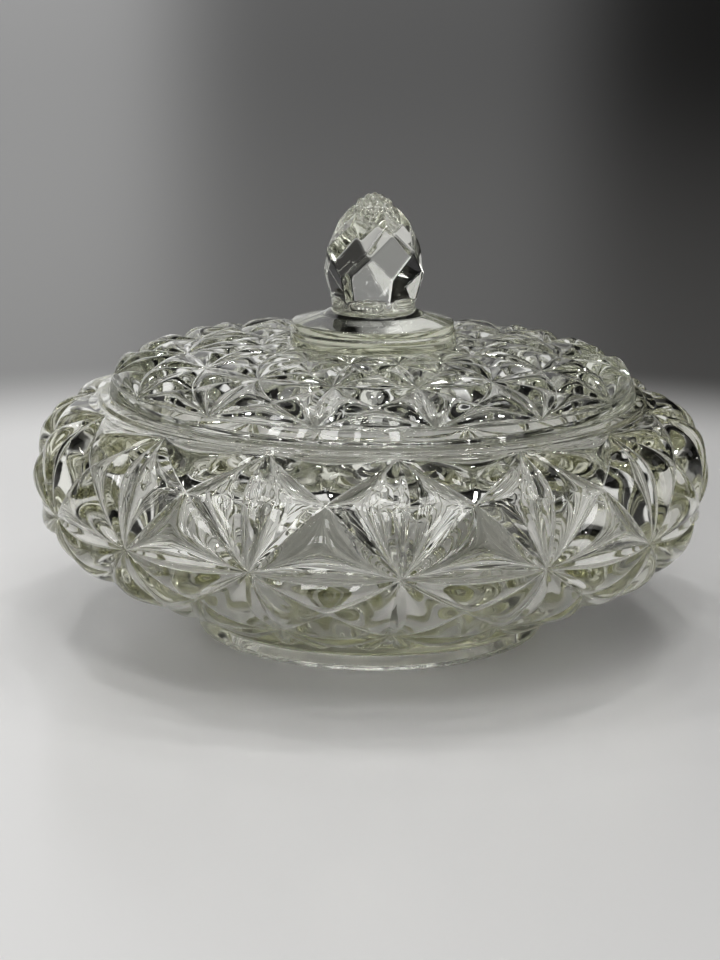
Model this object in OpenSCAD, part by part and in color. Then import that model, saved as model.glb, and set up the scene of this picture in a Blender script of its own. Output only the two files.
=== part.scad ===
// Round covered dish of pressed clear glass: a footed bowl and a loose lid.
// Both carry the same moulded lattice: diagonal V-grooves that cross in
// eight-rayed stars, with a cushion-shaped facet standing in each half diamond.
// The bowl stands on z = 0, centred on the Z axis, with a star facing -Y.

/* [Lattice] */
// Stars around the dish, on the bowl and on the lid alike
repeats = 15; // [12:1:18]
// Height of the cushion facets above the grooves, at the bowl's stars
bowl_relief = 4.6; // [1:0.1:5]
// Height of the cushion facets above the grooves, at the lid's flange
lid_relief = 3.6; // [1:0.1:4]
// Mesh steps from one row of crossings to the next
steps = 4; // [2:1:4]

/* [Bowl] */
// Radius through the stars, at the widest row of the bowl
star_r = 95.5; // [85:0.5:105]
// Height of the widest row of stars
star_z = 39.5; // [34:0.5:44]
// Height of the flat rim that the lid rests on
rim_z = 69.4; // [64:0.1:74]
// Outer radius of the flat rim
rim_r = 79.6; // [78.5:0.1:80]
// Radius of the mouth
mouth_r = 69; // [66:0.5:71]
// Thickness of the wall under the grooves
wall = 5.5; // [4:0.5:8]
// Height of the inside floor
floor_z = 13; // [11:0.5:16]

/* [Foot] */
// Outer radius of the foot ring
foot_r = 51.5; // [48:0.5:52]
// Height of the smooth band of the foot ring
foot_h = 7.5; // [6:0.5:8]
// Width of the flat face that the dish stands on
foot_face = 5; // [3:0.5:8]
// Depth of the recess under the floor
foot_recess = 3; // [1.5:0.5:3.5]

/* [Lid] */
// Outer radius of the lid's smooth flange
flange_r = 77.2; // [76.8:0.1:78.5]
// Height of the flange's edge
flange_h = 4.6; // [4:0.1:4.7]
// How far the top of the flange's edge stands in from its foot
flange_draft = 1.2; // [0.6:0.1:1.4]
// Gap between the locating lip and the mouth, on the radius
lip_gap = 2; // [0.8:0.1:3]
// Depth of the locating lip below the flange
lip_depth = 4; // [2:0.5:6]
// Width of the locating lip
lip_w = 4; // [3:0.5:6]
// How far the lid is turned from the bowl's stars, in degrees
lid_turn = 8; // [0:1:24]

/* [Knob] */
// Radius of the collar disc under the knob
collar_r = 23.8; // [22:0.1:24]
// Height of the collar's top edge above the flange's underside
collar_top = 21; // [20:0.5:23]
// Radius of the knob's neck
neck_r = 12.2; // [11:0.1:12.5]
// Height of the whole dish with its lid on
total_h = 127.6; // [124:0.1:132]

/* [Hidden] */
$fn = 180;

half_step = 180 / repeats;

// Rows of groove crossings, [radius, height], from the foot to the rim. Rows
// alternate: crossings half way between the stars, then the stars themselves.
bowl_rows = [
    [53, foot_h + 0.7],
    [71.5, 17],
    [87.5, 27.2],
    [star_r, star_z],
    [93.2, 58],
    [81, rim_z - 1.4]
];

// Rows of crossings on the lid, measured from the underside of its flange,
// from the flange to the collar.
lid_rows = [
    [75.8, flange_h + 0.4],
    [67, 9],
    [54.2, 11.6],
    [43.2, 12.8],
    [32.2, 13.7],
    [24.6, 14.2]
];

// Knob: rings of corners around its flat rhombic facets, [radius, height],
// from the neck to the tip. Each ring is turned half a facet from the last.
// Heights are from the flange's underside.
knob_sides = 6;
knob_tip = total_h - rim_z;
knob_turn = 8;
knob_rings = [
    [11, 27],
    [14.4, 34.6],
    [14.3, 41.6],
    [10.8, knob_tip - 9.8],
    [8.6, knob_tip - 6.8],
    [5.4, knob_tip - 2.8],
    [2.4, knob_tip]
];

// --- lattice ---------------------------------------------------------------

// Smooth curve through the rows, at v rows up from the first one.
function row_at(rows, i) =
    i < 0 ? 2 * rows[0] - rows[1] :
    i > len(rows) - 1 ? 2 * rows[len(rows) - 1] - rows[len(rows) - 2] :
    rows[i];

function curve(rows, v) =
    let (
        i = min(floor(v), len(rows) - 2),
        t = v - i,
        a = row_at(rows, i - 1),
        b = row_at(rows, i),
        c = row_at(rows, i + 1),
        d = row_at(rows, i + 2)
    )
    b + t * (c - a) / 2 + t * t * (a - 2.5 * b + 2 * c - d / 2)
    + t * t * t * (1.5 * (b - c) + (d - a) / 2);

function outward(rows, v) =
    let (
        h = 0.01,
        last = len(rows) - 1,
        run = curve(rows, min(v + h, last)) - curve(rows, max(v - h, 0)),
        n = [run[1], -run[0]]
    )
    n / norm(n);

// Height of a cushion facet at lattice place (u, v): u counts half steps
// around and v counts rows. A diamond is halved along its star-to-star line.
function cushion(u, v, star_row) =
    let (
        p = floor((u + v) / 2),
        q = floor((u - v) / 2),
        row = p - q,
        across = u - (p + q + 1),
        up = v - row,
        level = (row - star_row) % 2 == 0,
        along = level ? across : up,
        away = abs(level ? up : across),
        width = 1 - abs(along)
    )
    width <= 0 ? 0 : 4 * away / width * (1 - min(1, away / width)) * width;

// Solid under the lattice, from a flat underside at the first row to a flat
// top at the last. Row star_row, and every second row from it, carries stars.
module lattice_solid(rows, relief, star_row, skirt) {
    around = 2 * repeats * steps;
    levels = (len(rows) - 1) * steps;
    widest = max([for (row = rows) row[0]]);
    function place(k, m) =
        let (
            v = k / steps,
            u = m / steps + star_row,
            at = curve(rows, v),
            edge = k == 0 || k == levels,
            size = at[0] / widest,
            lift = edge ? 0 : relief * size * cushion(u, v, star_row),
            skin = at + lift * outward(rows, v),
            angle = (m / steps) * half_step - 90
        )
        [skin[0] * cos(angle), skin[0] * sin(angle), skin[1]];
    grid = [for (k = [0:levels], m = [0:around - 1]) place(k, m)];
    base = [for (m = [0:around - 1]) place(0, m) - [0, 0, skirt]];
    first = len(grid);
    function spot(k, m) = k * around + m % around;
    // Each square of the grid is split along the diagonal nearest to its groove.
    faces = [
        for (k = [0:levels - 1], m = [0:around - 1])
            let (
                a = spot(k, m),
                b = spot(k, m + 1),
                c = spot(k + 1, m + 1),
                d = spot(k + 1, m),
                slant = (floor(m / steps) + floor(k / steps) + star_row) % 2 == 0
            )
            each slant ? [[a, c, b], [a, d, c]] : [[a, d, b], [b, d, c]]
    ];
    sides = [
        for (m = [0:around - 1])
            let (n = (m + 1) % around)
            each [[first + m, spot(0, m), first + n], [spot(0, m), spot(0, n), first + n]]
    ];
    low = skirt > 0 ? [for (m = [0:around - 1]) first + m] : [for (m = [0:around - 1]) spot(0, m)];
    high = [for (m = [around - 1:-1:0]) spot(levels, m)];
    polyhedron(
        points = skirt > 0 ? concat(grid, base) : grid,
        faces = concat([low, high], faces, skirt > 0 ? sides : []),
        convexity = 10
    );
}

// --- bowl ------------------------------------------------------------------

// Inside of the wall: the lattice curve brought in by the wall's thickness.
function inner_wall(v) =
    curve(bowl_rows, v) - wall * outward(bowl_rows, v);

module bowl_cavity() {
    wall_points = [for (v = [0.9:0.1:4.6]) inner_wall(v)];
    rotate_extrude()
        polygon(concat(
            [[0, floor_z], [40, floor_z], [55, floor_z + 2.8]],
            wall_points,
            [[mouth_r, rim_z - 5], [mouth_r, rim_z + 1], [0, rim_z + 1]]
        ));
}

module bowl_rim() {
    rotate_extrude()
        polygon([
            [60, rim_z - 12],
            [rim_r - 3, rim_z - 12],
            [rim_r, rim_z - 2],
            [rim_r, rim_z - 0.6],
            [rim_r - 0.6, rim_z],
            [60, rim_z]
        ]);
}

module foot_ring() {
    rotate_extrude()
        polygon([
            [0, foot_recess],
            [foot_r - foot_face - 2.5, foot_recess],
            [foot_r - foot_face - 0.5, 0],
            [foot_r - 0.5, 0],
            [foot_r, 0.5],
            [foot_r, foot_h + 2],
            [0, foot_h + 2]
        ]);
}

module bowl() {
    color("#c9cfc0")
        difference() {
            union() {
                lattice_solid(bowl_rows, bowl_relief, 1, 0);
                bowl_rim();
                foot_ring();
            }
            bowl_cavity();
        }
}

// --- lid -------------------------------------------------------------------

module flange() {
    roll = 0.8;
    rotate_extrude()
        union() {
            polygon([
                [0, 0],
                [flange_r - roll, 0],
                [flange_r, roll],
                [flange_r - flange_draft, flange_h],
                [0, flange_h]
            ]);
            translate([flange_r - roll, roll]) circle(roll);
        }
}

module locating_lip() {
    lip_r = mouth_r - lip_gap;
    rotate_extrude()
        polygon([
            [lip_r - lip_w, -lip_depth],
            [lip_r - 1, -lip_depth],
            [lip_r, -lip_depth + 1],
            [lip_r, 1],
            [lip_r - lip_w, 1]
        ]);
}

module lid_hollow() {
    hollow_r = mouth_r - lip_gap - lip_w;
    rotate_extrude()
        polygon([
            [0, -lip_depth - 1],
            [hollow_r, -lip_depth - 1],
            [hollow_r, 0],
            [hollow_r - 3, 3.5],
            [hollow_r - 10, 5.6],
            [40, 7.2],
            [20, 8.4],
            [0, 8.8]
        ]);
}

module collar() {
    draft = 0.6;
    foot_z = 13;
    slope_top = collar_top + 2;
    neck_top = 28.5;
    rotate_extrude()
        polygon([
            [0, foot_z],
            [collar_r + draft, foot_z],
            [collar_r, collar_top - 0.8],
            [collar_r - 0.8, collar_top],
            [neck_r + 2, slope_top],
            [neck_r, slope_top + 2],
            [neck_r, neck_top],
            [0, neck_top]
        ]);
}

module knob() {
    last = len(knob_rings) - 1;
    step = 360 / knob_sides;
    corners = [
        for (k = [0:last], i = [0:knob_sides - 1])
            let (
                ring = knob_rings[k],
                angle = (i + (k % 2) / 2) * step + knob_turn
            )
            [ring[0] * cos(angle), ring[0] * sin(angle), ring[1]]
    ];
    function corner(k, i) = k * knob_sides + (i + knob_sides) % knob_sides;
    // Each corner joins the two corners above it on either side.
    sides = [
        for (k = [0:last - 1], i = [0:knob_sides - 1])
            let (left = k % 2 == 0 ? i - 1 : i)
            each [
                [corner(k, i), corner(k + 1, left), corner(k + 1, left + 1)],
                [corner(k, i), corner(k + 1, left + 1), corner(k, i + 1)]
            ]
    ];
    polyhedron(
        points = corners,
        faces = concat(
            [[for (i = [0:knob_sides - 1]) corner(0, i)]],
            [[for (i = [knob_sides - 1:-1:0]) corner(last, i)]],
            sides
        )
    );
}

module lid() {
    color("#cfd3cf")
        translate([0, 0, rim_z])
        rotate([0, 0, lid_turn])
        difference() {
            union() {
                lattice_solid(lid_rows, lid_relief, 0, 1.5);
                flange();
                locating_lip();
                collar();
                knob();
            }
            lid_hollow();
        }
}

bowl();
lid();
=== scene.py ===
"""Covered dish of thick pressed glass, remade at full detail around its CAD frame.

Both bodies are built as one closed skin each: a moulded lattice of star-ended
cushion facets, joined to turned surfaces (foot, rim, hollow, flange, collar) and,
on the lid, to a cut knob. Lengths are in millimetres until a mesh is made.
"""
import math

import bpy
import numpy as np
from mathutils import Matrix, Vector

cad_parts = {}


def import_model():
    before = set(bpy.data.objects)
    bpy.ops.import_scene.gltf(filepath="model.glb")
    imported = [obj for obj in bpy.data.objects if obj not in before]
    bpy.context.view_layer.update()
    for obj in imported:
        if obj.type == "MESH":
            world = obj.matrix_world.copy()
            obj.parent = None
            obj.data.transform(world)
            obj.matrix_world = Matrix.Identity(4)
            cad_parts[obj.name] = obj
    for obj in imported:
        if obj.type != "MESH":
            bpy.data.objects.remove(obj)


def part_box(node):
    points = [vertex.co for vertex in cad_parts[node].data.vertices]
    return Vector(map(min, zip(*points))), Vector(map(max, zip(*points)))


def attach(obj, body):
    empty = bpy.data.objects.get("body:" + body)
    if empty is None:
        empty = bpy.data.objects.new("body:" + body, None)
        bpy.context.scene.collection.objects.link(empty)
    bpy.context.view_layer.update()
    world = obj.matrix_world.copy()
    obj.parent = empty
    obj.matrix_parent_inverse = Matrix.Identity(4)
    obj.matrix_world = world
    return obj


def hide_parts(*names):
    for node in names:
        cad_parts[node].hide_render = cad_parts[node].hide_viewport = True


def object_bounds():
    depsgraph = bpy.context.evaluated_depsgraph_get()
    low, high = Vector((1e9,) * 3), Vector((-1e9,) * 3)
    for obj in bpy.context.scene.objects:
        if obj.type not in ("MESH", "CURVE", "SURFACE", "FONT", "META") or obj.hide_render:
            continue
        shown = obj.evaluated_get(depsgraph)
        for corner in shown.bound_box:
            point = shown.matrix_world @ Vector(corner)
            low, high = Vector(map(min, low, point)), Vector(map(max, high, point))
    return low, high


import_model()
cad_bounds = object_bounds()

MM = 0.001

# --- sizes, from the frame where it holds them -------------------------------

RIM_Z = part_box("bowl")[1].z / MM
TIP_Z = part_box("lid")[1].z / MM
FLANGE_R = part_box("lid")[1].x / MM

REPEATS = 15
BOWL_RELIEF = 4.65
LID_RELIEF = 3.5
WALL = 5.5
FLOOR_Z = 13.0
MOUTH_R = 69.0
RIM_R = 79.6
FOOT_R = 51.5
FOOT_H = 7.5
FOOT_FACE = 5.0
FOOT_RECESS = 3.0
LIP_R = MOUTH_R - 2.0
LIP_W = 4.0
LIP_DEPTH = 4.0
FLANGE_H = 4.6
FLANGE_DRAFT = 1.2
SEAT_GAP = 0.08     # air left between the rim and the flange that rests on it
COLLAR_R = 23.8
COLLAR_TOP = 21.0
NECK_R = 12.2
LID_TURN = math.radians(8)
KNOB_TURN = math.radians(8)

# Rows of groove crossings, (radius, height). The lid's heights are above the rim.
BOWL_ROWS = np.array([
    (53, FOOT_H + 0.7),
    (71.5, 17),
    (87.5, 27.2),
    (95.5, 39.5),
    (93.2, 58),
    (81, RIM_Z - 1.4),
])
LID_ROWS = np.array([
    (75.8, FLANGE_H + 0.4),
    (67, 9),
    (54.2, 11.6),
    (43.2, 12.8),
    (32.2, 13.7),
    (24.6, 14.2),
])

# --- lattice -----------------------------------------------------------------

ALONG = 22          # mesh steps from star to star
ACROSS = 10         # mesh steps over one cushion
RIB_STEPS = 4       # mesh steps over the slender rib between two cushions
RIB = 0.11          # half width of the rib, in rows
SHOULDER = 0.25     # how far in from its edges a cushion still rises, in rows
EDGE = 2.4          # how crisp the edges between the faces of a cushion are
CHANNEL = 0.022     # half width of the flat in the bottom of a groove, in rows
FINENESS = 100000   # lattice places closer than one part in this are the same point
# Shares of a cushion's height: its bow from star to star, its dome and its rib.
BOW = 0.32
DOME = 0.72
CREST = 0.10


def curve(rows, v):
    """Smooth curve through the rows at each v, in rows up from the first."""
    ends = np.vstack([2 * rows[0] - rows[1], rows, 2 * rows[-1] - rows[-2]])
    i = np.clip(np.floor(v).astype(int), 0, len(rows) - 2)
    t = (v - i)[:, None]
    a, b, c, d = (ends[i + k] for k in range(4))
    return (b + t * (c - a) / 2 + t ** 2 * (a - 2.5 * b + 2 * c - d / 2)
            + t ** 3 * (1.5 * (b - c) + (d - a) / 2))


def outward(rows, v):
    """Unit normal of the curve at each v, pointing out of the glass."""
    h = 0.01
    run = curve(rows, np.minimum(v + h, len(rows) - 1)) - curve(rows, np.maximum(v - h, 0))
    n = np.stack([run[:, 1], -run[:, 0]], 1)
    return n / np.linalg.norm(n, axis=1)[:, None]


def rib_width(a):
    """Half width of the rib at a, where the stars are at a = -1 and 1."""
    return RIB * (1 - a ** 2)


def channel_width(a):
    """Half width of the flat in the groove at a, running out at the stars."""
    width = 1 - abs(a)
    return CHANNEL * width / (width + 0.1)


def cushion(a, b, full):
    """Height of a half diamond at a along its rib and b across, from 0 to about 1.

    It is a low pyramid at full 0 and a round pillow with steep sides at full 1.
    """
    tiny = 1e-6
    b = np.abs(b)
    rib = rib_width(a)
    bow = (1 - np.maximum(b, rib)) ** 2 - a ** 2
    rise = np.maximum(b - rib, 0) + tiny
    right = np.maximum(1 - a - b - channel_width(a), 0) + tiny
    left = np.maximum(1 + a - b - channel_width(a), 0) + tiny
    near = (rise ** -EDGE + (left / 1.41) ** -EDGE + (right / 1.41) ** -EDGE) ** (-1 / EDGE)
    slope = np.minimum(near / SHOULDER, 1)
    dome = slope + full * slope * (1 - slope)
    crest = np.where(b < rib, (1 - (b / np.maximum(rib, tiny)) ** 2) * (1 - a ** 2), 0)
    return BOW * np.maximum(bow, 0) + DOME * dome + CREST * crest


def ease(x):
    """Smooth step from 0 to 1."""
    x = np.clip(x, 0, 1)
    return x * x * (3 - 2 * x)


def cross_steps(a):
    """Places across a diamond at a: groove, cushion, rib, cushion, groove."""
    width = 1 - abs(a)
    rib = rib_width(a)
    top = width - channel_width(a)
    side = rib + (top - rib) * np.linspace(0, 1, ACROSS + 1)
    half = np.concatenate([side, [width]])
    middle = np.linspace(-rib, rib, RIB_STEPS + 1)[1:-1]
    return np.concatenate([-half[::-1], middle, half])


def lattice(rows, star_row, full):
    """Lattice skin as points in (u, v), their heights, faces and sharp edges.

    u counts half steps around and v counts rows. Every diamond has a rib along
    its star-to-star line: level in a star row and upright between two of them.
    """
    last = len(rows) - 1
    index = {}
    places = []
    lifts = []
    faces = []
    sharp = set()
    around = 2 * REPEATS

    def point(u, v, lift):
        key = (round((u % around) * FINENESS) % (around * FINENESS), round(v * FINENESS))
        if key not in index:
            index[key] = len(places)
            places.append((u, v))
            lifts.append(lift)
        return index[key]

    steps = np.linspace(-1, 1, ALONG + 1)
    bands = [cross_steps(a) for a in steps]
    n = len(bands[0])
    groove = {0, n - 1}
    crease = {1, 1 + ACROSS, n - 2 - ACROSS, n - 2}
    for row in range(last + 1):
        level = (row - star_row) % 2 == 0
        for turn in range(REPEATS):
            u0 = 2 * turn + (1 if level else 0) + star_row
            grid = []
            for a, band in zip(steps, bands):
                heights = cushion(np.full(n, a), band, full)
                line = []
                for b, h in zip(band, heights):
                    u, v = (u0 + a, row + b) if level else (u0 + b, row + a)
                    inside = -1e-9 <= v <= last + 1e-9
                    line.append(point(u, min(max(v, 0), last), h) if inside else -1)
                grid.append(line)
            for i in range(ALONG):
                for j in range(n - 1):
                    ring = [grid[i][j], grid[i + 1][j], grid[i + 1][j + 1], grid[i][j + 1]]
                    if min(ring) < 0:
                        continue
                    ring = [p for k, p in enumerate(ring) if p != ring[k - 1]]
                    if len(ring) > 2:
                        faces.append(ring if level else ring[::-1])
                for j in groove | crease:
                    pair = (grid[i][j], grid[i + 1][j])
                    if min(pair) >= 0 and pair[0] != pair[1]:
                        sharp.add(tuple(sorted(pair)))
    return np.array(places), np.array(lifts), faces, sharp


class Skin:
    """Points, faces and sharp edges of one closed skin."""

    def __init__(self):
        self.points = []
        self.faces = []
        self.sharp = set()

    def add_lattice(self, rows, relief, star_row, fade, full):
        """The moulded lattice, fading out over its end rows. Returns its lower and upper loops."""
        places, lifts, faces, sharp = lattice(rows, star_row, full)
        u, v = places[:, 0], places[:, 1]
        last = len(rows) - 1
        at = curve(rows, v)
        size = at[:, 0] / rows[:, 0].max()
        ends = ease(v / fade) * ease((last - v) / fade)
        lift = relief * size * lifts * ends
        skin = at + lift[:, None] * outward(rows, v)
        angle = (u - star_row) * math.pi / REPEATS - math.pi / 2
        first = len(self.points)
        self.points += list(zip(skin[:, 0] * np.cos(angle), skin[:, 0] * np.sin(angle), skin[:, 1]))
        self.faces += [[first + p for p in f] for f in faces]
        self.sharp |= {(first + a, first + b) for a, b in sharp}
        loops = []
        for edge in (0, last):
            on = [k for k in range(len(v)) if abs(v[k] - edge) < 1e-9]
            on.sort(key=lambda k: angle[k] % (2 * math.pi))
            loops.append([(first + k, angle[k]) for k in on])
        return loops

    def turned(self, loop, outline, flip):
        """Turns an outline of (radius, height) on from a loop, to the axis or to a new loop."""
        angles = np.array([a for _, a in loop])
        ring = [k for k, _ in loop]
        count = len(ring)
        for r, z in outline:
            if r < 1e-9:
                tip = len(self.points)
                self.points.append((0, 0, z))
                for k in range(count):
                    tri = [ring[k], ring[(k + 1) % count], tip]
                    self.faces.append(tri[::-1] if flip else tri)
                return None
            first = len(self.points)
            self.points += list(zip(r * np.cos(angles), r * np.sin(angles), np.full(count, z)))
            self.join(ring, list(range(first, first + count)), flip)
            ring = list(range(first, first + count))
        return list(zip(ring, angles))

    def join(self, low, high, flip):
        """Quads between two rings of points."""
        count = len(low)
        for k in range(count):
            n = (k + 1) % count
            quad = [low[k], low[n], high[n], high[k]]
            self.faces.append(quad[::-1] if flip else quad)

    def mesh(self, name):
        """The skin as a smooth-shaded object in metres."""
        data = bpy.data.meshes.new(name)
        data.from_pydata([Vector(p) * MM for p in self.points], [], self.faces)
        data.validate()
        data.shade_smooth()
        mark = data.attributes.new("sharp_edge", "BOOLEAN", "EDGE")
        mark.data.foreach_set("value", [tuple(sorted(e.vertices)) in self.sharp for e in data.edges])
        data.update()
        obj = bpy.data.objects.new(name, data)
        bpy.context.scene.collection.objects.link(obj)
        return obj


def rounded(points, radius=0.6, steps=4):
    """The outline with each inner corner rounded off by a short curve."""
    out = [points[0]]
    for before, corner, after in zip(points, points[1:], points[2:]):
        p, q, r = (np.array(x, float) for x in (before, corner, after))
        back, on = np.linalg.norm(p - q), np.linalg.norm(r - q)
        if min(back, on) < 1e-6:
            continue
        reach = min(radius, back * 0.45, on * 0.45)
        start, end = q + (p - q) / back * reach, q + (r - q) / on * reach
        for t in np.linspace(0, 1, steps + 1):
            out.append(tuple((1 - t) ** 2 * start + 2 * t * (1 - t) * q + t * t * end))
    out.append(points[-1])
    return out


def spaced(points, longest):
    """The outline with long runs cut up, so that no step is longer than longest."""
    out = [points[0]]
    for a, b in zip(points, points[1:]):
        a, b = np.array(a, float), np.array(b, float)
        n = max(1, math.ceil(np.linalg.norm(b - a) / longest))
        out += [tuple(a + (b - a) * k / n) for k in range(1, n + 1)]
    return out


# --- bowl ----------------------------------------------------------------------

def bowl_skin():
    """The bowl in one skin: lattice, rim, hollow, foot ring and recess."""
    skin = Skin()
    low, high = skin.add_lattice(BOWL_ROWS, BOWL_RELIEF, star_row=1, fade=0.10, full=0.35)
    # Rim, mouth and hollow, down to the middle of the floor.
    v = np.linspace(4.6, 0.9, 38)
    wall = curve(BOWL_ROWS, v) - WALL * outward(BOWL_ROWS, v)
    rim = rounded([
        (81, RIM_Z - 1.4),
        (RIM_R + 0.2, RIM_Z - 1.2),
        (RIM_R, RIM_Z),
        (MOUTH_R + 0.2, RIM_Z),
        (MOUTH_R, RIM_Z - 4.6),
        (74, RIM_Z - 7.2),
        tuple(wall[0]),
    ], 0.9)
    floor = rounded([tuple(wall[-1]), (55, FLOOR_Z + 2.8), (40, FLOOR_Z), (0, FLOOR_Z)], 7, 6)
    outline = spaced(rim[1:] + [tuple(w) for w in wall[1:]] + floor[1:], 4)
    skin.turned(high, outline, False)
    # Foot ring and the recess under the floor.
    inner = FOOT_R - FOOT_FACE
    foot = rounded([
        (53, FOOT_H + 0.7),
        (FOOT_R, FOOT_H + 0.1),
        (FOOT_R, 0),
        (inner - 0.5, 0),
        (inner - 2.5, FOOT_RECESS),
        (0, FOOT_RECESS),
    ], 0.6)
    skin.turned(low, spaced(foot[1:], 4), True)
    return skin


# --- lid -----------------------------------------------------------------------

KNOB_SIDES = 6
KNOB_TIP = TIP_Z - RIM_Z
KNOB_FOOT = 27.0
NECK_BLEND = 3.0    # height over which the round neck gives way to the facets
# Rings of corners around the flat rhombic facets, (radius, height above the rim).
# Each ring is turned half a facet from the last.
KNOB_HEIGHTS = [KNOB_FOOT, 34.8, 42.2, KNOB_TIP - 8.4, KNOB_TIP - 3.4]
KNOB_LOW = [10.9, 14.75]
KNOB_STEP = 0.5     # from one mesh ring to the next over the facets
CAP_STEP = 0.28     # from one mesh ring to the next over the pebbles


def knob_rings():
    """Corner rings that keep every rhombus flat: each follows from the two below it."""
    radii = list(KNOB_LOW)
    flat = math.cos(math.pi / KNOB_SIDES)
    for k in range(len(KNOB_HEIGHTS) - 2):
        low, middle, high = KNOB_HEIGHTS[k:k + 3]
        radii.append(radii[k] + (radii[k + 1] * flat - radii[k]) * (high - low) / (middle - low))
    return list(zip(radii, KNOB_HEIGHTS))


KNOB_RINGS = knob_rings()
EDGE_SHARPNESS = 9.0    # higher makes the edges between the facets keener
# The top of the knob is a blunt cap moulded in small pebbles.
CAP_R = 3.15        # radius of the cap about one millimetre under the tip
CAP_DEPTH = 5       # depth below which the cap widens clear of the facets
PEBBLE = 2.3        # from one pebble to the next
PEBBLE_H = 0.9
PEBBLE_TURN = 0.5
PEBBLE_DEPTH = 7.2  # how far down from the tip the pebbles reach
PEBBLE_SWING = 1.8  # how much further down they reach on some facets than on others
KNOB_HEART = KNOB_TIP - 9


def knob_radius(angle, z):
    """Radius of the cut knob at each angle and one height, edges slightly eased."""
    step = math.pi / KNOB_SIDES
    total = np.zeros(len(angle))
    for k in range(len(KNOB_RINGS) - 2):
        (r0, z0), (r1, z1) = KNOB_RINGS[k], KNOB_RINGS[k + 2]
        line = r0 + (r1 - r0) * (z - z0) / (z1 - z0)
        for i in range(KNOB_SIDES):
            toward = np.cos(angle - KNOB_TURN - (2 * i + k % 2) * step)
            total += np.exp(-EDGE_SHARPNESS * np.minimum(line / np.maximum(toward, 0.02), 60.0))
    down = KNOB_TIP - z
    cap = CAP_R * math.sqrt(down) * (1 + (down / CAP_DEPTH) ** 2)
    total += np.exp(-EDGE_SHARPNESS * cap)
    return -np.log(total) / EDGE_SHARPNESS


def pebbled(points):
    """Sinks the gaps between pebbles into the cap of the knob, towards its heart."""
    x, y, z = points.T
    c, s = math.cos(PEBBLE_TURN), math.sin(PEBBLE_TURN)
    across = x * c - y * s
    along = x * s + y * c
    k = math.pi / PEBBLE
    bumps = np.abs(np.cos(k * across) * np.cos(k * along) * np.cos(k * (KNOB_TIP - z))) ** 0.5
    edge = PEBBLE_DEPTH + PEBBLE_SWING * np.cos(KNOB_SIDES * (np.arctan2(y, x) - KNOB_TURN))
    sink = PEBBLE_H * (1 - bumps) * ease((edge - (KNOB_TIP - z)) / 1.5)
    heart = np.array([0, 0, KNOB_HEART])
    arm = points - heart
    return heart + arm * (1 - sink / np.linalg.norm(arm, axis=1))[:, None]


def add_knob(skin, loop):
    """The cut knob, ring by ring from the loop at its neck to the tip."""
    angles = np.array([a for _, a in loop])
    ring = [k for k, _ in loop]
    heights = np.concatenate([
        np.arange(KNOB_FOOT + 0.4, KNOB_TIP - 9, KNOB_STEP),
        np.arange(KNOB_TIP - 9, KNOB_TIP - 1, CAP_STEP),
        KNOB_TIP - np.array([1, 0.75, 0.5, 0.3, 0.15, 0.05]),
    ])
    for z in heights:
        neck = NECK_R * (1 - ease((z - KNOB_FOOT) / NECK_BLEND))
        r = np.maximum(knob_radius(angles, z), neck)
        first = len(skin.points)
        corners = np.stack([r * np.cos(angles), r * np.sin(angles), np.full(len(r), z)], 1)
        skin.points += [tuple(p) for p in pebbled(corners)]
        above = list(range(first, first + len(ring)))
        skin.join(ring, above, False)
        ring = above
    tip = len(skin.points)
    skin.points.append((0, 0, KNOB_TIP))
    skin.faces += [[ring[k], ring[(k + 1) % len(ring)], tip] for k in range(len(ring))]


def lid_skin():
    """The lid in one skin: lattice, flange, lip, hollow, collar and knob."""
    skin = Skin()
    low, high = skin.add_lattice(LID_ROWS, LID_RELIEF, star_row=0, fade=0.12, full=0.15)
    edge = rounded([
        (75.8, FLANGE_H + 0.4),
        (75.8, FLANGE_H),
        (FLANGE_R - FLANGE_DRAFT, FLANGE_H),
        (FLANGE_R, 0.8),
        (FLANGE_R - 0.6, SEAT_GAP),
        (LIP_R, SEAT_GAP),
        (LIP_R, -LIP_DEPTH),
        (LIP_R - LIP_W, -LIP_DEPTH),
        (LIP_R - LIP_W, 1.5),
        (60, 4),
    ], 1.0, 3)
    hollow = rounded([(60, 4), (53, 5.6), (40, 7.2), (20, 8.4), (0, 8.8)], 6, 4)
    skin.turned(low, spaced(edge[1:] + hollow[1:], 8), True)
    collar = rounded([
        (24.6, 14.2),
        (COLLAR_R + 0.5, 14.3),
        (COLLAR_R + 0.4, COLLAR_TOP - 2.6),
        (COLLAR_R - 0.2, COLLAR_TOP - 2.2),
        (COLLAR_R - 0.2, COLLAR_TOP),
        (NECK_R + 3, COLLAR_TOP + 2),
        (NECK_R, COLLAR_TOP + 3.6),
        (NECK_R, KNOB_FOOT),
    ], 0.5, 3)
    ring = skin.turned(high, spaced(collar[1:], 4), False)
    add_knob(skin, ring)
    # Turn the lid and set it on the rim.
    c, s = math.cos(LID_TURN), math.sin(LID_TURN)
    skin.points = [(x * c - y * s, x * s + y * c, z + RIM_Z) for x, y, z in skin.points]
    return skin


# --- materials -----------------------------------------------------------------

IOR = 1.52
WAVE_SCALE = 55     # broad fire-polish waves
FINE_SCALE = 380    # fine texture left by the mould
FINE_SHARE = 0.12   # height of the fine texture beside the waves
WAVE_HEIGHT = 0.0006    # in metres
WAVE_STRENGTH = 0.08
WORN_Z = 0.35       # height up to which the foot is scuffed by what it stands on
WORN_ROUGHNESS = 0.55


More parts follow.
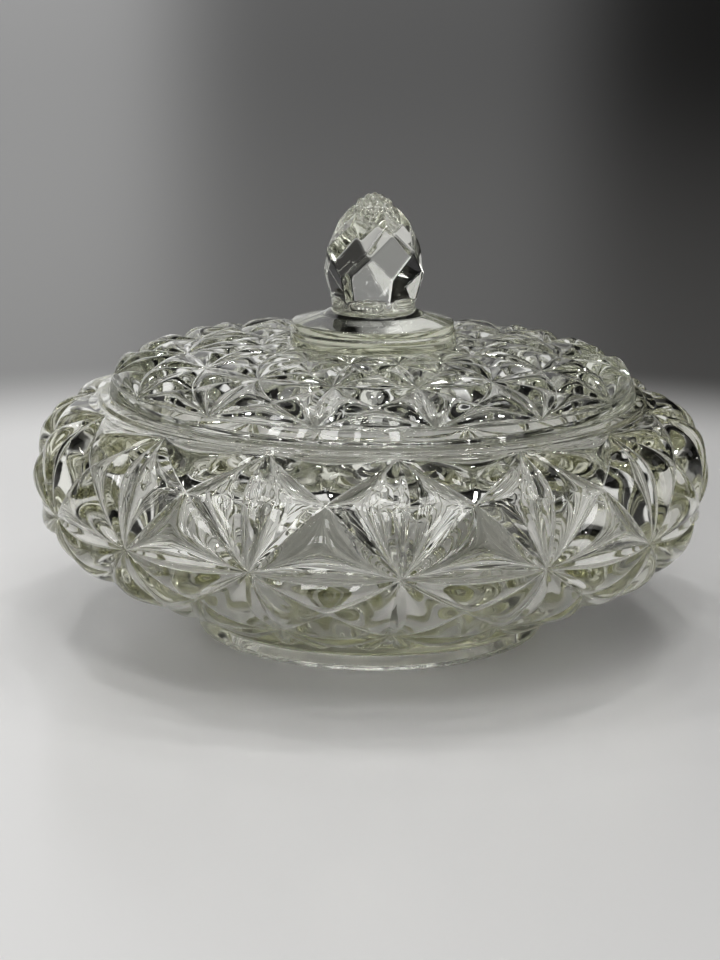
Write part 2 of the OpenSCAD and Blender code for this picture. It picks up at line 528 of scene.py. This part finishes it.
def glass(name, tint, density, seed):
    """Thick clear glass: tint by depth, faint fire-polish waves, and a scuffed foot."""
    material = bpy.data.materials.new(name)
    material.use_nodes = True
    nodes, links = material.node_tree.nodes, material.node_tree.links
    shader = nodes["Principled BSDF"]
    shader.inputs["Base Color"].default_value = (1, 1, 1, 1)
    shader.inputs["Transmission Weight"].default_value = 1.0
    shader.inputs["IOR"].default_value = IOR
    depth = nodes.new("ShaderNodeVolumeAbsorption")
    depth.inputs["Color"].default_value = (*tint, 1)
    depth.inputs["Density"].default_value = density
    links.new(depth.outputs["Volume"], nodes["Material Output"].inputs["Volume"])
    place = nodes.new("ShaderNodeTexCoord")
    shift = nodes.new("ShaderNodeMapping")
    shift.inputs["Location"].default_value = (seed, 0, 0)
    links.new(place.outputs["Object"], shift.inputs["Vector"])

    def noise(scale):
        node = nodes.new("ShaderNodeTexNoise")
        node.inputs["Scale"].default_value = scale
        node.inputs["Detail"].default_value = 1
        links.new(shift.outputs["Vector"], node.inputs["Vector"])
        return node

    ripple = noise(WAVE_SCALE)
    fine = noise(FINE_SCALE)
    both = nodes.new("ShaderNodeMath")
    both.operation = "MULTIPLY_ADD"
    both.inputs[1].default_value = FINE_SHARE
    links.new(fine.outputs["Fac"], both.inputs[0])
    links.new(ripple.outputs["Fac"], both.inputs[2])
    bump = nodes.new("ShaderNodeBump")
    bump.inputs["Strength"].default_value = WAVE_STRENGTH
    bump.inputs["Distance"].default_value = WAVE_HEIGHT
    links.new(both.outputs["Value"], bump.inputs["Height"])
    links.new(bump.outputs["Normal"], shader.inputs["Normal"])
    split = nodes.new("ShaderNodeSeparateXYZ")
    links.new(place.outputs["Object"], split.inputs["Vector"])
    scuff = nodes.new("ShaderNodeMapRange")
    scuff.inputs["From Min"].default_value = 0
    scuff.inputs["From Max"].default_value = WORN_Z * MM
    scuff.inputs["To Min"].default_value = WORN_ROUGHNESS
    scuff.inputs["To Max"].default_value = 0
    links.new(split.outputs["Z"], scuff.inputs["Value"])
    worn = nodes.new("ShaderNodeMath")
    worn.operation = "MULTIPLY"
    links.new(scuff.outputs["Result"], worn.inputs[0])
    links.new(fine.outputs["Fac"], worn.inputs[1])
    links.new(worn.outputs["Value"], shader.inputs["Roughness"])
    return material


def make(name, skin, body, node, material):
    """One visible piece: a skin that rides on a body and stands for its CAD node."""
    obj = skin.mesh(name)
    obj.data.materials.append(material)
    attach(obj, body)
    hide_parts(node)


make("bowl_glass", bowl_skin(), "bowl", "bowl",
     glass("bowl_glass", tint=(0.65, 0.655, 0.36), density=8.5, seed=0.0))
make("lid_glass", lid_skin(), "lid", "lid",
     glass("lid_glass", tint=(0.68, 0.71, 0.48), density=7, seed=3.7))


# --- stage -----------------------------------------------------------------------

FLOOR_REACH = 8
FLOOR_DROP = 0.0002     # keeps the floor clear of the foot's resting face
# Painted light: the floor is painted pale around the dish and grey further out, a pool of light and
# its falloff.
LIT_POOL_TONE = (0.72, 0.715, 0.705, 1)
SHADED_FAR_TONE = (0.12, 0.118, 0.115, 1)
LIT_POOL_TO = 0.27          # metres from the dish at which the painted pool of light begins to fade into painted shade
SHADED_FROM = 0.42        # metres from the dish from which the floor is painted grey shade


def floor():
    """A floor with a painted pool of light around the dish, falling off to painted grey shade with
    distance.
    """
    data = bpy.data.meshes.new("floor")
    corners = [(-1, -1), (1, -1), (1, 1), (-1, 1)]
    data.from_pydata([(x * FLOOR_REACH, y * FLOOR_REACH, 0) for x, y in corners], [], [(0, 1, 2, 3)])
    obj = bpy.data.objects.new("floor", data)
    bpy.context.scene.collection.objects.link(obj)
    material = bpy.data.materials.new("floor")
    material.use_nodes = True
    nodes, links = material.node_tree.nodes, material.node_tree.links
    shader = nodes["Principled BSDF"]
    shader.inputs["Roughness"].default_value = 0.28
    place = nodes.new("ShaderNodeTexCoord")
    length = nodes.new("ShaderNodeVectorMath")
    length.operation = "LENGTH"
    # This ramp paints the pool of light and the shade beyond it into the floor's colour.
    ramp = nodes.new("ShaderNodeValToRGB")
    ramp.color_ramp.interpolation = "EASE"
    for stop, position, tone in zip(ramp.color_ramp.elements, (LIT_POOL_TO, SHADED_FROM), (LIT_POOL_TONE, SHADED_FAR_TONE)):
        stop.position = position
        stop.color = tone
    links.new(place.outputs["Object"], length.inputs[0])
    links.new(length.outputs["Value"], ramp.inputs["Fac"])
    links.new(ramp.outputs["Color"], shader.inputs["Base Color"])
    data.materials.append(material)
    obj.location.z = -FLOOR_DROP


def camera():
    """The camera, a little above the dish and looking slightly down at it."""
    width = (cad_bounds[1] - cad_bounds[0]).x
    distance, height = 3.2 * width, 1.0 * width
    turn, heading = math.radians(-4.8), math.radians(-0.3)
    pitch, roll = math.radians(13.84), math.radians(0.6)
    right = Vector((math.cos(heading), -math.sin(heading), 0))
    ahead = Vector((math.sin(heading), math.cos(heading), 0))
    forward = ahead * math.cos(pitch) - Vector((0, 0, math.sin(pitch)))
    up = ahead * math.sin(pitch) + Vector((0, 0, math.cos(pitch)))
    side = right * math.cos(roll) + up * math.sin(roll)
    top = up * math.cos(roll) - right * math.sin(roll)
    basis = Matrix((side, top, -forward)).transposed().to_4x4()
    data = bpy.data.cameras.new("camera")
    data.lens = 82.9
    data.sensor_width = 36
    data.clip_start, data.clip_end = 0.01, 50
    obj = bpy.data.objects.new("camera", data)
    obj.matrix_world = (Matrix.Rotation(turn, 4, "Z")
                        @ Matrix.Translation((0, -distance, height)) @ basis)
    bpy.context.scene.collection.objects.link(obj)
    bpy.context.scene.camera = obj


LIGHTS_AIM = (0, 0, 0.05)


def area(name, size, place, power):
    """A rectangular lamp aimed at the dish."""
    data = bpy.data.lights.new(name, "AREA")
    data.shape = "RECTANGLE"
    data.size, data.size_y = size
    data.energy = power
    obj = bpy.data.objects.new(name, data)
    obj.location = place
    obj.rotation_euler = (Vector(LIGHTS_AIM) - Vector(place)).to_track_quat("-Z", "Y").to_euler()
    bpy.context.scene.collection.objects.link(obj)


# Upright soft-edged fields in the dark surround. Bearing of the middle, half
# width, lowest and highest elevation, all in degrees, and how bright they are.
FIELDS = [
    (85, 5, -5, 40, 0.5),
    (106, 16, -5, 40, 1.5),
    (155, 8, 6, 40, 1.2),
    (-165, 6, 10, 50, 1.2),
    (-138, 5, 5, 55, 1.6),
    (-105, 4, 12, 60, 1.2),
    (-72, 4, 15, 60, 1.2),
    (-36, 8, 4, 50, 1.5),
    (14, 5, 10, 50, 1.2),
]
# Between the fields it is dark, and a little less dark overhead.
DARK = 0.01
OVERHEAD = 0.04
OVERHEAD_FROM, OVERHEAD_TO = 30, 80


def world():
    """Dark room with upright bright fields, whose edges clear glass needs to show its shape."""
    surround = bpy.data.worlds.new("surround")
    surround.use_nodes = True
    bpy.context.scene.world = surround
    nodes, links = surround.node_tree.nodes, surround.node_tree.links

    def math_node(operation, first, second=None, third=None):
        node = nodes.new("ShaderNodeMath")
        node.operation = operation
        for socket, value in zip(node.inputs, (first, second, third)):
            if value is None:
                continue
            if isinstance(value, (int, float)):
                socket.default_value = value
            else:
                links.new(value, socket)
        return node.outputs["Value"]

    def step(value, low, high):
        node = nodes.new("ShaderNodeMapRange")
        node.interpolation_type = "SMOOTHSTEP"
        links.new(value, node.inputs["Value"])
        node.inputs["From Min"].default_value = low
        node.inputs["From Max"].default_value = high
        return node.outputs["Result"]

    place = nodes.new("ShaderNodeTexCoord")
    split = nodes.new("ShaderNodeSeparateXYZ")
    links.new(place.outputs["Generated"], split.inputs["Vector"])
    x, y, z = (split.outputs[k] for k in "XYZ")
    height = math_node("DEGREES", math_node("ARCSINE", z))
    total = math_node("MULTIPLY_ADD", step(height, OVERHEAD_FROM, OVERHEAD_TO), OVERHEAD, DARK)
    for bearing, half, low, high, level in FIELDS:
        angle = math.radians(bearing)
        c, s = math.cos(angle), math.sin(angle)
        ahead = math_node("MULTIPLY_ADD", x, c, math_node("MULTIPLY", y, s))
        aside = math_node("MULTIPLY_ADD", x, -s, math_node("MULTIPLY", y, c))
        off = math_node("ABSOLUTE", math_node("DEGREES", math_node("ARCTAN2", aside, ahead)))
        above = step(height, low - 2, low + 2)
        below = step(height, high + 3, high - 3)
        upright = math_node("MULTIPLY", above, below)
        within = math_node("MULTIPLY", step(off, half + 2, half - 2), upright)
        rest = math_node("MULTIPLY_ADD", total, -1, level)
        total = math_node("MULTIPLY_ADD", within, rest, total)
    links.new(total, nodes["Background"].inputs["Color"])


# Soft boxes overhead: name, side, place and power.
OVERHEADS = [
    ("overhead", 0.9, (-0.1, -0.05, 1.9), 3.4),
    ("overhead_front", 0.5, (0.1, -0.9, 1.5), 7),
    ("overhead_right", 0.12, (0.5, 0.3, 1.5), 3.6),
    ("overhead_left", 0.12, (-0.4, 0.35, 1.5), 3.0),
]
# Tall strips in front: bearing in degrees and width. The rest is the same for all.
STRIPS = [(-137, 0.16), (-125, 0.10), (-113, 0.22), (-101, 0.07), (-85, 0.12)]
STRIP_TALL = 0.45
STRIP_REACH = 1.7
STRIP_Z = 0.85
STRIP_RADIANCE = 14
# Small lamps for sparkle, on a spiral that opens by the golden angle.
LAMPS = 16
LAMP_SIDE = 0.025
LAMP_Z = 1.7
LAMP_RADIANCE = 950
GOLDEN = 137.5


def polar(bearing, reach, height):
    """A place at a bearing in degrees, a distance from the axis and a height."""
    angle = math.radians(bearing)
    return (reach * math.cos(angle), reach * math.sin(angle), height)


def studio():
    """Soft boxes overhead, a row of tall strips in front, and small lamps for sparkle."""
    for name, side, place, power in OVERHEADS:
        area(name, (side, side), place, power)
    for number, (bearing, wide) in enumerate(STRIPS):
        power = STRIP_RADIANCE * math.pi * wide * STRIP_TALL
        area(f"strip_{number}", (wide, STRIP_TALL), polar(bearing, STRIP_REACH, STRIP_Z), power)
    for number in range(LAMPS):
        place = polar(20 + GOLDEN * number, 0.25 + 0.09 * number, LAMP_Z)
        area(f"lamp_{number}", (LAMP_SIDE, LAMP_SIDE), place, LAMP_RADIANCE * math.pi * LAMP_SIDE ** 2)


floor()
camera()
world()
studio()

scene = bpy.context.scene
scene.view_settings.view_transform = "Standard"
scene.view_settings.look = "Medium High Contrast"
scene.view_settings.exposure = -1.05
scene.cycles.max_bounces = 32
scene.cycles.transmission_bounces = 32
scene.cycles.glossy_bounces = 16
scene.cycles.sample_clamp_indirect = 40
